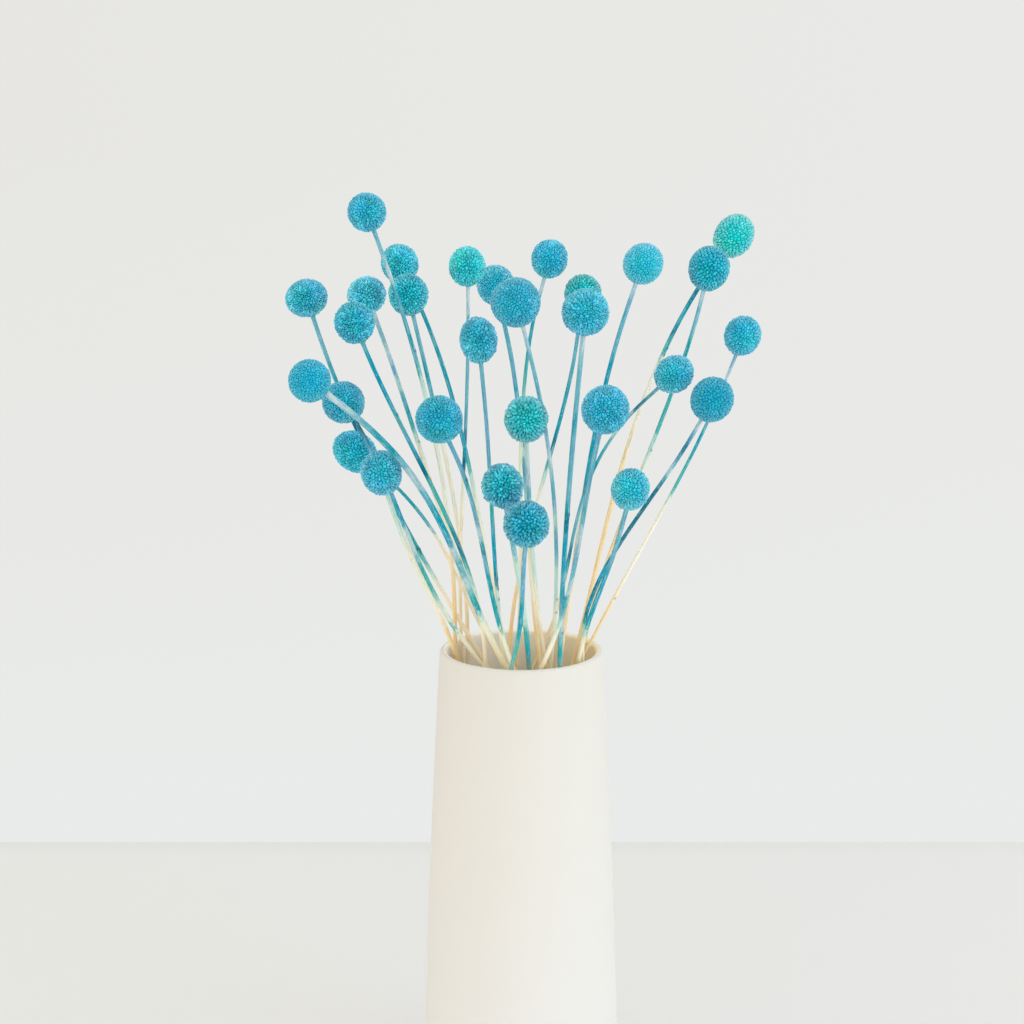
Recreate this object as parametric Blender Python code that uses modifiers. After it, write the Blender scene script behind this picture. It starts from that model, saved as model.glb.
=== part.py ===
"""Twenty-nine dried, dyed billy buttons standing loosely in a tall matte vase.

The origin is the centre of the vase's underside, +Z is up and -Y is the front.
Each flower is a round head on a thin bare stem. The stems lean on the rim, cross
inside the vase and end just above its floor. Sizes are in millimetres until a
mesh or curve is made, which is in metres.
"""

import math
from collections import namedtuple

import bmesh
import bpy
import numpy as np
from mathutils import Matrix, Vector

MM = 0.001

# The vase: a slightly swelling taper, narrowest at its rim.
VASE_HEIGHT = 270
RIM_DIAMETER = 95
TAPER = 0.118  # growth of the diameter for each millimetre below the rim
SWELL = 0.00012  # how much of that growth is lost with the square of the depth
WALL = 4.4
FLOOR_THICKNESS = 8
INNER_CORNER = 6  # radius between the floor and the inner wall
FOOT_EDGE = 2  # radius between the outer wall and the underside
WALL_STEPS = 6
ARC_STEPS = 4
VASE_SEGMENTS = 48
MERGE_DISTANCE = 0.00001  # metres, for the points on the vase's axis

# Stems and heads.
GAP = 0.3  # left between a head and its stem
STEM_SPACING = 0.85  # left between two stems, or a stem and anything else
LEAN_ALLOWANCE = 1.15  # a leaning stem is wider across than its diameter
FOOT_LIFT = 1.0  # from the vase's floor to the middle of a stem's cut end
FOOT_REACH = 0.55  # how far a stem goes on in its direction at the rim
FOOT_CIRCLE = 48  # radius on the floor that the cut ends stay within
LEVELS_IN_VASE = 11
SHORTEST_PIECE = 8  # from a stem's last level to its end
HEAD_SEGMENTS = 12
HEAD_RINGS = 8

# Settling the stems past each other.
SETTLE_ROUNDS = 400
SIDEWAYS_SHARE = 0.3  # stems give way front to back more than sideways
SMOOTHING = 0.3
FRACTIONS = (0.0, 0.25, 0.5, 0.75)  # of the way from one level to the next
TINY = 1e-9  # keeps a stem's distance to itself from dividing by nothing

Flower = namedtuple("Flower", "x y z width stretch stem rim_x rim_y bow sway")

# One row for each flower, from left to right: the middle of its head, the head's
# width and its height over its width, the stem's diameter, where the stem crosses
# the rim's level, and how far it bows to the right and sways on its way from the
# rim to the head.
FLOWERS = (
    Flower(-86, -5, 522, 22.0, 1.00, 2.4, -39.5, 12, 12.5, 0.5),
    Flower(-71, 45, 490, 22.3, 1.06, 2.4, -8.5, -15, 8.5, -6.5),
    Flower(-125, 38, 470.5, 25.0, 0.90, 2.6, -27.5, 12, -8, 1),
    Flower(-90, 40, 472, 23.2, 0.96, 2.6, -15.5, 5, -2.5, -4),
    Flower(-93, -15, 461.5, 22.5, 1.07, 2.4, -20.5, -20, 8, 9.5),
    Flower(-64.5, 15, 474.5, 23.0, 1.06, 2.4, -32.5, 20, 5.5, 3),
    Flower(-114, -60, 435, 23.8, 0.98, 3.4, -9, -30, 17, -14),
    Flower(-100, -15, 417, 24.0, 1.02, 2.6, -27.5, -12, -2, -9.5),
    Flower(-95.5, 5, 385.5, 23.0, 1.20, 2.0, -18.5, 15, 12, -10),
    Flower(-77, -47, 382.5, 23.0, 1.14, 2.6, -38, -8, -2.5, 4),
    Flower(-44, -80, 417, 25.5, 1.03, 2.4, -7.5, -35, 3, -6.5),
    Flower(-31, 20, 490, 21.2, 1.11, 2.1, -35, 20, 0, -3),
    Flower(-24, -25, 453, 21.3, 1.23, 2.3, -11, -23, 0, -2),
    Flower(-15, 45, 477.5, 22.4, 1.08, 2.6, 9, 5, 3, -4),
    Flower(-3.5, -60, 477, 27.0, 1.00, 2.2, 18.5, -20, 10.5, -0.5),
    Flower(16, 25, 494, 21.2, 1.07, 2.1, -0.5, 15, -6, 7.5),
    Flower(2, -75, 416.5, 23.6, 1.09, 2.5, 11, -25, -2.5, 0),
    Flower(-10.5, -88, 383, 22.4, 1.11, 2.9, 4.5, -36, 1.5, 1),
    Flower(2, -105, 366, 24.2, 1.06, 2.5, -4, -38, 2.5, 2),
    Flower(35.5, 35, 473.5, 22.0, 1.00, 2.3, -7.5, 10, 0, -8),
    Flower(34, -50, 471, 25.9, 0.99, 2.8, 21.5, -34, -2, -0.5),
    Flower(43.5, -85, 423, 25.7, 1.02, 2.6, 11.5, -35, 3.5, 5.5),
    Flower(68, 0, 493, 22.7, 1.05, 2.6, 22.5, -8, -7, 4),
    Flower(57, -88, 381, 20.7, 1.18, 2.6, 32, -25, 1, -4),
    Flower(84, -25, 434, 20.8, 1.12, 2.0, 14.5, 5, -16, 18),
    Flower(105.5, 5, 490, 23.6, 1.10, 2.4, 35, 10, 0.5, -6.5),
    Flower(124, 50, 505.5, 23.0, 1.18, 2.6, 36, 18, -15.5, 7.5),
    Flower(104, -40, 422, 23.9, 1.08, 2.2, 35, -19, -10, -13),
    Flower(127.5, 25, 450, 21.6, 1.09, 2.0, 40.5, 3, 4.5, -4),
)


def outer_radius(height):
    """The vase's outside at this height above its underside."""
    depth = VASE_HEIGHT - height
    return (RIM_DIAMETER + TAPER * depth - SWELL * depth * depth) / 2


def inner_radius(height):
    return outer_radius(height) - WALL


def arc(centre_x, centre_z, radius, start, end, steps):
    """Points on a circular arc, from one angle in degrees to another."""
    angles = np.radians(np.linspace(start, end, steps + 1))
    return [(centre_x + radius * math.cos(a), centre_z + radius * math.sin(a)) for a in angles]


def vase_profile():
    """From the middle of the floor up the inside, over the rim and down to the underside."""
    inner_foot = FLOOR_THICKNESS + INNER_CORNER
    lip = WALL / 2
    shoulder = VASE_HEIGHT - lip
    inner_heights = np.linspace(inner_foot, shoulder, WALL_STEPS)[1:-1]
    outer_heights = np.linspace(shoulder, FOOT_EDGE, WALL_STEPS)[1:-1]
    corner = inner_radius(inner_foot) - INNER_CORNER
    foot = outer_radius(FOOT_EDGE) - FOOT_EDGE
    points = [(0, FLOOR_THICKNESS)]
    points += arc(corner, inner_foot, INNER_CORNER, -90, 0, ARC_STEPS)
    points += [(inner_radius(h), h) for h in inner_heights]
    points += arc(outer_radius(shoulder) - lip, shoulder, lip, 180, 0, ARC_STEPS)
    points += [(outer_radius(h), h) for h in outer_heights]
    points += arc(foot, FOOT_EDGE, FOOT_EDGE, 0, -90, ARC_STEPS)
    points += [(0, 0)]
    return points


def level_heights():
    """Heights shared by all stems: even steps from the feet, one of them at the rim."""
    foot = FLOOR_THICKNESS + FOOT_LIFT
    step = (VASE_HEIGHT - foot) / LEVELS_IN_VASE
    highest = max(flower.z for flower in FLOWERS)
    count = math.ceil((highest - foot) / step) + 1
    return foot + step * np.arange(count)


def drawn_above_rim(flower, height):
    """The stem's intended middle at a height from the rim to the head."""
    t = (height - VASE_HEIGHT) / (flower.z - VASE_HEIGHT)
    side = 4 * t * (1 - t) * (flower.bow + flower.sway * (1 - 2 * t))
    return np.array((
        flower.rim_x + (flower.x - flower.rim_x) * t + side,
        flower.rim_y + (flower.y - flower.rim_y) * t,
    ))


def drawn_in_vase(flower, height):
    """From the rim down: on in the same direction, then bending to its foot."""
    rim = drawn_above_rim(flower, VASE_HEIGHT)
    slope = drawn_above_rim(flower, VASE_HEIGHT + 1) - rim
    depth = VASE_HEIGHT - FLOOR_THICKNESS - FOOT_LIFT
    foot = rim - slope * depth * FOOT_REACH
    foot *= min(1, FOOT_CIRCLE / np.linalg.norm(foot))
    t = (VASE_HEIGHT - height) / depth
    start = -slope * depth
    return rim + start * t + (foot - rim - start) * t * t


def drawn_route(flower, heights):
    draw = [drawn_above_rim if h > VASE_HEIGHT else drawn_in_vase for h in heights]
    return np.array([way(flower, h) for way, h in zip(draw, heights)])


def head_axis(flower):
    """The direction in which the stem runs into its head."""
    below = np.append(drawn_above_rim(flower, flower.z - flower.width), flower.z - flower.width)
    axis = np.array((flower.x, flower.y, flower.z)) - below
    return axis / np.linalg.norm(axis)


def stem_end(flower):
    """The stem's upper end, just short of the head's underside."""
    reach = flower.width * flower.stretch / 2 + GAP
    return np.array((flower.x, flower.y, flower.z)) - head_axis(flower) * reach


def stem_push(places, radii, present):
    """How far each stem should move at one height, to clear every other stem."""
    offset = places[:, None] - places[None]
    distance = np.linalg.norm(offset, axis=2)
    needed = (radii[:, None] + radii[None] + STEM_SPACING) * LEAN_ALLOWANCE
    short = np.clip(needed - distance, 0, None)
    short *= present[:, None] & present[None]
    np.fill_diagonal(short, 0)
    way = offset * (SIDEWAYS_SHARE, 1)
    way /= np.linalg.norm(way, axis=2, keepdims=True) + TINY
    return (way * short[..., None]).sum(axis=1) / 2


def head_push(places, height, radii):
    """How far each stem should move at one height, to clear the other flowers' heads."""
    push = np.zeros_like(places)
    for index, flower in enumerate(FLOWERS):
        away = places - (flower.x, flower.y)
        distance = np.linalg.norm(away, axis=1)
        reach = flower.width / 2 * max(1, flower.stretch) + radii + STEM_SPACING
        needed = np.sqrt(np.clip(reach**2 - (height - flower.z) ** 2, 0, None))
        short = np.clip(needed - distance, 0, None)
        short[index] = 0
        push += away / distance[:, None] * short[:, None]
    return push


def keep_in_vase(places, heights, radii):
    """Moves what lies below the rim inside the wall."""
    for level, height in enumerate(heights[: LEVELS_IN_VASE + 1]):
        limit = inner_radius(height) - radii * LEAN_ALLOWANCE - STEM_SPACING
        limit -= INNER_CORNER if level == 0 else 0
        distance = np.linalg.norm(places[:, level], axis=1)
        places[:, level] *= np.minimum(1, limit / distance)[:, None]


def settled_routes(heights):
    """Every stem's middle at every level, once no two of them touch."""
    drawn = np.array([drawn_route(flower, heights) for flower in FLOWERS])
    radii = np.array([flower.stem / 2 for flower in FLOWERS])
    tops = np.array([stem_end(flower)[2] for flower in FLOWERS])
    offset = np.zeros_like(drawn)
    for turn in range(SETTLE_ROUNDS):
        for fraction in FRACTIONS:
            places = drawn + offset
            for level in range(len(heights) - 1):
                height = heights[level] * (1 - fraction) + heights[level + 1] * fraction
                middle = places[:, level] * (1 - fraction) + places[:, level + 1] * fraction
                present = height < tops
                push = stem_push(middle, radii, present) + head_push(middle, height, radii)
                push *= present[:, None]
                offset[:, level] += push * (1 - fraction) / len(FRACTIONS)
                offset[:, level + 1] += push * fraction / len(FRACTIONS)
        ease = SMOOTHING * (1 - turn / SETTLE_ROUNDS)
        bend = offset[:, :-2] + offset[:, 2:] - 2 * offset[:, 1:-1]
        offset[:, 1:-1] += ease * bend
        places = drawn + offset
        keep_in_vase(places, heights, radii)
        offset = places - drawn
    return drawn + offset


def stem_points(flower, heights, places):
    """The stem's levels below its head, then its upper end."""
    end = stem_end(flower)
    below = heights < end[2] - SHORTEST_PIECE
    points = np.column_stack((places[below], heights[below]))
    return np.vstack((points, end))


def material(name, colour, roughness):
    made = bpy.data.materials.new(name)
    made.use_nodes = True
    shader = made.node_tree.nodes["Principled BSDF"]
    shader.inputs["Base Color"].default_value = (*colour, 1)
    shader.inputs["Roughness"].default_value = roughness
    shader.inputs["Metallic"].default_value = 0
    return made


def clear_scene():
    for old in list(bpy.data.objects):
        bpy.data.objects.remove(old)


def new_collection(name):
    made = bpy.data.collections.new(name)
    bpy.context.scene.collection.children.link(made)
    return made


def make_vase(collection, ceramic):
    mesh = bpy.data.meshes.new("vase")
    points = [(x * MM, 0, z * MM) for x, z in vase_profile()]
    edges = [(i, i + 1) for i in range(len(points) - 1)]
    mesh.from_pydata(points, edges, [])
    vase = bpy.data.objects.new("vase", mesh)
    collection.objects.link(vase)
    screw = vase.modifiers.new("Turned", "SCREW")
    screw.axis = "Z"
    screw.steps = screw.render_steps = VASE_SEGMENTS
    screw.use_merge_vertices = True
    screw.merge_threshold = MERGE_DISTANCE
    screw.use_smooth_shade = True
    vase.data.materials.append(ceramic)
    return vase


def make_head(name, flower, collection, florets):
    mesh = bpy.data.meshes.new(name)
    half = flower.width / 2 * MM
    size = Matrix.Diagonal((half, half, half * flower.stretch, 1))
    body = bmesh.new()
    bmesh.ops.create_uvsphere(
        body, u_segments=HEAD_SEGMENTS, v_segments=HEAD_RINGS, radius=1, matrix=size
    )
    body.to_mesh(mesh)
    body.free()
    mesh.shade_smooth()
    mesh.materials.append(florets)
    head = bpy.data.objects.new(name, mesh)
    head.location = Vector((flower.x, flower.y, flower.z)) * MM
    head.rotation_euler = Vector(head_axis(flower)).to_track_quat("Z", "Y").to_euler()
    collection.objects.link(head)
    return head


def make_stem(name, flower, points, collection, dyed):
    curve = bpy.data.curves.new(name, "CURVE")
    curve.dimensions = "3D"
    curve.bevel_depth = flower.stem / 2 * MM
    curve.bevel_resolution = 2
    curve.use_fill_caps = True
    spline = curve.splines.new("POLY")
    spline.points.add(len(points) - 1)
    for place, point in zip(spline.points, points):
        place.co = (*(point * MM), 1)
    curve.materials.append(dyed)
    stem = bpy.data.objects.new(name, curve)
    collection.objects.link(stem)
    return stem


def main():
    clear_scene()
    bouquet = new_collection("billy_buttons_in_vase")
    make_vase(bouquet, material("vase_ceramic", (0.82, 0.81, 0.78), 0.7))
    florets = material("dyed_florets", (0.05, 0.22, 0.30), 0.85)
    dyed = material("dyed_stem", (0.07, 0.26, 0.34), 0.7)
    heights = level_heights()
    routes = settled_routes(heights)
    for number, (flower, places) in enumerate(zip(FLOWERS, routes), 1):
        make_head(f"head_{number:02d}", flower, bouquet, florets)
        points = stem_points(flower, heights, places)
        make_stem(f"stem_{number:02d}", flower, points, bouquet, dyed)


main()
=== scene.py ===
"""Looks for a tall matte vase of dried, dyed billy buttons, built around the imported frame.

Lengths are in metres, except where a name ends in _MM or a comment says millimetres.
A number that is "over" something is a share of it.
"""

import math
from collections import namedtuple

import bmesh
import bpy
import numpy as np
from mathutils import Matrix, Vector


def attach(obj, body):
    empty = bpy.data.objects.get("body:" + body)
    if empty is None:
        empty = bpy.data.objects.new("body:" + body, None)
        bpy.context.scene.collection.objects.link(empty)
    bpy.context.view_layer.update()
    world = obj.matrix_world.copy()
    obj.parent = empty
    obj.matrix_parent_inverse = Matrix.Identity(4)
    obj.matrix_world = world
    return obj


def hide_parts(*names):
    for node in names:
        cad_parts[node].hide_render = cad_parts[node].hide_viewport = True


MM = 0.001
SEED = 2900  # and a flower's number is added to it

# The camera: a little above the flowers and looking slightly down.
CAMERA_PLACE = (-0.0055, -1.1, 0.573)
CAMERA_PITCH = math.radians(11.4)
CAMERA_LENS = 68.66
SENSOR_WIDTH = 36

# The light: a soft sky, warmer on the left, and a window on the right.
SKY_LEVEL = 1.17  # near the horizon
SKY_TOP = 0.85  # straight up
WINDOW_PLACE = (1.8, -0.9, 0.8)
WINDOW_AIM = (0, 0, 0.3)
WINDOW_SIZE = 1.4
WINDOW_POWER = 5.5

# The table and the wall behind it.
WALL_DISTANCE = 0.393
STAGE_REACH = 4.0
STAGE_ROUGHNESS = 0.9
# Painted shadow: how far from the wall the table darkens in the corner.
CORNER_SHADOW_WIDTH = 0.03
TABLE_GLOW = 0.5  # how much of its colour the table shows by itself

# Where their colours change, from left to right and from high to low. Painted light: warmer on the
# left, cooler on the right, and the wall lighter low down.
WALL_SIDES = (-0.35, 0.35)
WALL_HEIGHTS = (0.55, 0.05)
TABLE_SIDES = (-0.25, 0.25)

# Heads.
GOLDEN_ANGLE = math.pi * (3 - math.sqrt(5))
HEAD_FILL = 0.99  # the florets' mean tips over the CAD head's size
LUMP_WAVES = 5
LUMP_PITCH = 1.6  # the spread of the waves' radians for each radius
LUMP_SIZE = 0.012  # over the head's radius
OPEN_FROM_MM = 1.7  # florets at least this wide open in a star
FLORET_JITTER = 1.25  # over a look's jitter
FLORET_RELIEF = (0.5, 0.5)  # the least of the depth, and what a look's relief adds
FLORET_HEIGHTS = (-0.30, 0.24)  # how uneven the florets may be, over their depth
FLORET_WIDTHS = (0.86, 1.08)  # over a floret's cell
FLORET_LEAN = 0.15  # over a floret's width
SIDEWAYS = (0.31, 0.17, 0.93)  # any direction that no floret points in

# The two forms of a floret: how far it stands out over its width, how unevenly, and how
# high its middle is over its depth.
Form = namedtuple("Form", "depth uneven dome")
OPEN = Form(1.2, 0.08, 0.96)
CLOSED = Form(0.95, 0.10, 1.05)

# A ring of corners round a floret: its width over the cell's, its height over the depth,
# and its crown, which says how far out of the valleys it is.
Ring = namedtuple("Ring", "width rise crown")
OPEN_WAIST = Ring(0.60, 0.36, 0.30)
OPEN_LOBES = Ring(0.68, 0.98, 0.95)
OPEN_NOTCHES = Ring(0.50, 0.93, 0.90)
CLOSED_WAIST = Ring(0.78, 0.36, 0.30)
CLOSED_RIM = Ring(0.66, 0.88, 0.90)
VALLEY_CROWN, VALLEY_TINT = 0.0, 0.5
MIDDLE_CROWN = 1.0

# Bristles: as many as florets, on florets drawn at random.
BRISTLE_REACH = (1.0, 1.035)  # over the head's radius
BRISTLE_WIDTH = 0.00007
BRISTLE_SIDES = 3
BRISTLE_ASIDE = 0.4  # over the florets' depth, as the next two are
BRISTLE_TILT = 0.6
BRISTLE_ROOT = 0.6
BRISTLE_TINT = 0.9
BRISTLE_FOOT_CROWN, BRISTLE_TIP_CROWN = 0.95, 1.5

# Stems.
STEM_SIDES = 11
STEM_STEP = 0.004
STEM_SMOOTHING = 8
STEM_INTO_HEAD = 0.0035
STEM_FOOT = 1.01  # the foot's width over the CAD stem's
STEM_TAPER = 0.03  # how much of that is gone at the head
FOOT_TO_FLOOR = 0.0009
SWELL = 0.03  # over the stem's radius, as its limits are
SWELL_LIMITS = (-0.04, 0.015)
SWELL_STEP = 0.02
RIBS = 4
RIB_HEIGHT = 0.04  # over the stem's radius, as a scar's is
RIB_TWIST = 5  # the most radians for each metre
NECK_LENGTH = 0.0028
NECK_FLARE = 0.2  # over the stem's radius
NECK_SPREAD = 1.6  # over the neck's length, as its stations are
NECK_STATIONS = (0.4, 0.8, 1.2, 1.7, 2.3)
SCAR_LENGTH = 0.0011
SCAR_HEIGHT = 0.22
SCAR_TURN = 0.4
SCAR_STATIONS = (-1.6, -0.8, 0, 0.8, 1.6)  # over a scar's length

# The vase.
VASE_SIDES = 160
VASE_STEPS = 4
PROFILE_DECIMALS = 7  # at which corners in the same place agree
ON_PLANE = 1e-6  # the most that the profile's corners are off its plane

# The florets' material. Here and for the stems and the vase, two numbers say where a change
# starts and ends, and two more say how much there is at each, where that isn't 0 and 1.
PATCHES = (0.35, 0.65)
CLOUD = (0.3, 0.7)
DUST = (0.35, 0.60)
DUST_TINT = (0.55, 1, 0.05, 1.6)
DUST_CROWN_LOW = (0.3, 0.6)
DUST_CROWN_HIGH = (0.80, 0.92, 1.0, 0.35)
FLANK_CROWN = (0.50, 0.74)
TOP_CROWN = (0.84, 0.94)
BRISTLE_CROWN = (1.05, 1.3)

# Painted sheen: what the green shifts by and how pale it gets, at a head's front and at its sides;
# the paler, bluer sides stand in for the grazing sheen of a head's rims.
PAINTED_SHEEN_GREEN = (0.10, -0.08)
PAINTED_SHEEN_PALE = (0.4, 1.65)
SIDE_DEPTH = 0.25  # how far the sides start in front of the middle, over the half width

# The least of each, and what a look's pale adds.
FLANK_PALE = (0.12, 0.45)
DUST_PALE = (0.1, 0.75)
SHEEN_PALE = (0.85, 0.30)

# How far the patches' green, the florets' own shades and the clouds go either way.
PATCH_RANGE = 0.16
TINT_RANGE = 0.18
CLOUD_RANGE = 0.15
CLOUD_RELIEF = 1.1  # the most of a look's relief that the clouds follow

# The stems' material. The noises run round the stem, and much faster along it.
STREAK_SCALE = (1.9, 1.9, 110)
BLOTCH_SCALE = (0.9, 0.9, 260)
FLECK_SCALE = (3.4, 3.4, 480)
LIGHT_STREAKS = (0.54, 0.64, 0.0, 0.28)
DARK_STREAKS = (0.48, 0.34, 0.0, 0.85)
CHALK_FLECKS = (0.62, 0.74, 0.0, 0.6)
DYE_WANDER = (0.3, 0.7, -0.0035, 0.0035)
DYED_HEIGHTS = (0.31, 0.39)
# Below its dyes a stem turns amber: the straw's own tan, deepened as painted warm shade near the
# vase's mouth.
DYE_END = 0.018  # how far below its last dye a stem is halfway to amber
SCAR_REACH = (0.2 * SCAR_LENGTH, 1.1 * SCAR_LENGTH, 0.5, 0.0)
SCAR_SIDE = (-0.2, 0.5)

# The vase's material.
CLAY_CLOUD = (0.3, 0.7)
# Painted bounce light: the clay paler and cooler towards the bottom, as if lit from the table,
# between these heights.
LOW_BOUNCE_HEIGHTS = (0.28, 0.06)
# Painted bounce light inside: golden patches that gather towards the right.
LINING_BOUNCE_SCALE = (30, 30, 9)
LINING_BOUNCE_SIDES = (-0.02, 0.02, -0.2, 0.2)
LINING_BOUNCE_SPREAD = (0.35, 0.65)
GRIT_SPOTS = (0.62, 0.75, 0, 0.25)
TURNING_SCALE = (3, 3, 160)
TURNING_HEIGHT = 1.5

# Colours, as linear red, green and blue.
BLUE = (0.003, 0.570, 0.820)
GREEN = (0.005, 0.730, 0.690)
DEEP_BLUE = (0.001, 0.460, 0.700)
DEEP_GREEN = (0.001, 0.610, 0.550)
DUSTY_BLUE = (0.440, 0.690, 0.820)
DUSTY_GREEN = (0.440, 0.790, 0.760)
BRISTLE = (0.600, 0.760, 0.860)
DYES = {
    "ice": (0.560, 0.720, 0.770),
    "violet": (0.150, 0.440, 0.620),
    "steel": (0.155, 0.490, 0.600),
    "teal": (0.010, 0.385, 0.490),
    "cyan": (0.001, 0.375, 0.535),
    "deep": (0.002, 0.210, 0.320),
    "navy": (0.012, 0.200, 0.310),
    "jade": (0.060, 0.480, 0.480),
    "mint": (0.580, 0.800, 0.720),
    "leaf": (0.880, 0.900, 0.730),
    "cream": (1.000, 0.940, 0.790),
    "shell": (1.000, 0.890, 0.700),
    # amber and honey: the straw's own tan, deepened as painted warm shade where the stems go into
    # the vase's mouth.
    "amber": (1.000, 0.775, 0.450),
    "honey": (1.000, 0.710, 0.350),
}

# What streaks, chalk and scars turn a stem to, on its straw and on its dyed part.
STREAK_STRAW = (0.985, 0.845, 0.630)
STREAK_DYED = (0.480, 0.620, 0.660)
CHALK_STRAW = (1.000, 0.940, 0.850)
CHALK_DYED = (0.850, 0.870, 0.850)
SCAR = (0.040, 0.130, 0.170)

# The vase, outside and inside.
GLAZE_WARM = (0.780, 0.757, 0.702)
GLAZE_PALE = (0.790, 0.775, 0.738)
# Painted bounce light from the table, on the clay towards the bottom.
CLAY_LOW_BOUNCE = (0.818, 0.812, 0.795)
# The lining is painted light: lighter than the outside's clay for the dim inside, and golden
# towards the right as painted warm light bounced off the stems.
LINING_PALE = (0.990, 0.970, 0.930)
LINING_GOLDEN_BOUNCE = (1.000, 0.900, 0.680)
GRIT = (0.700, 0.650, 0.560)

# The stage and the light.
# The wall's and the table's colours carry painted light: warmer on the left, cooler on the right,
# and the wall lighter low down.
WALL_LEFT = (0.802, 0.796, 0.768)
WALL_RIGHT = (0.815, 0.817, 0.801)
WALL_LOW = (0.816, 0.832, 0.822)
TABLE_BOUNCE = (0.900, 0.895, 0.880)
TABLE_LEFT = (0.738, 0.750, 0.738)
TABLE_RIGHT = (0.735, 0.735, 0.755)
# Painted shadow in the corner where the table meets the wall.
TABLE_CORNER_SHADOW = (0.680, 0.700, 0.690)
SKY_LEFT = (1.140, 1.040, 0.900)
SKY_RIGHT = (1.030, 1.080, 1.130)
WINDOW_LIGHT = (0.850, 0.970, 1.000)

# One row for each flower, 1 to 29: how green its head is, how dusty the tips are, the
# florets' width in millimetres, how unevenly they stand, how light the head is and how
# strong its relief is.
Look = namedtuple("Look", "green pale floret jitter shade relief")
LOOKS = (
    Look(0.05, 0.35, 1.55, 0.25, 0.95, 1.00),
    Look(0.34, 0.45, 1.65, 0.22, 1.07, 1.10),
    Look(0.20, 0.55, 1.65, 0.22, 1.00, 1.30),
    Look(0.36, 0.85, 1.55, 0.28, 1.20, 1.90),
    Look(0.15, 0.30, 1.55, 0.25, 0.96, 1.60),
    Look(0.39, 0.25, 1.70, 0.15, 1.11, 1.10),
    Look(0.07, 0.20, 1.50, 0.26, 0.92, 0.50),
    Look(0.02, 0.45, 1.60, 0.25, 0.91, 0.85),
    Look(0.16, 0.30, 1.69, 0.20, 1.05, 1.00),
    Look(0.05, 0.65, 1.65, 0.22, 0.97, 1.00),
    Look(0.11, 0.20, 1.50, 0.26, 0.87, 0.90),
    Look(0.62, 0.30, 1.65, 0.20, 1.06, 1.00),
    Look(0.15, 0.50, 1.60, 0.25, 0.98, 1.20),
    Look(0.17, 0.85, 1.55, 0.25, 1.12, 0.70),
    Look(0.02, 0.40, 1.50, 0.26, 0.87, 0.65),
    Look(0.14, 0.40, 1.50, 0.26, 0.99, 0.90),
    Look(0.46, 0.50, 1.95, 0.12, 1.06, 1.30),
    Look(0.21, 0.40, 1.75, 0.12, 1.04, 1.80),
    Look(0.04, 0.30, 1.95, 0.14, 0.94, 1.35),
    Look(0.62, 0.45, 1.95, 0.10, 1.14, 1.00),
    Look(0.10, 0.45, 1.69, 0.25, 0.98, 1.00),
    Look(-0.06, 0.40, 1.50, 0.26, 0.95, 1.00),
    Look(0.25, 0.60, 1.50, 0.26, 1.06, 0.30),
    Look(0.32, 0.65, 1.50, 0.25, 0.99, 0.75),
    Look(0.10, 0.55, 1.50, 0.26, 0.99, 1.00),
    Look(0.23, 0.22, 1.95, 0.08, 1.00, 0.65),
    Look(0.78, 1.00, 1.95, 0.08, 1.18, 0.35),
    Look(-0.12, 0.20, 1.55, 0.25, 0.83, 0.45),
    Look(0.13, 0.40, 1.60, 0.25, 0.98, 0.70),
)

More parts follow.
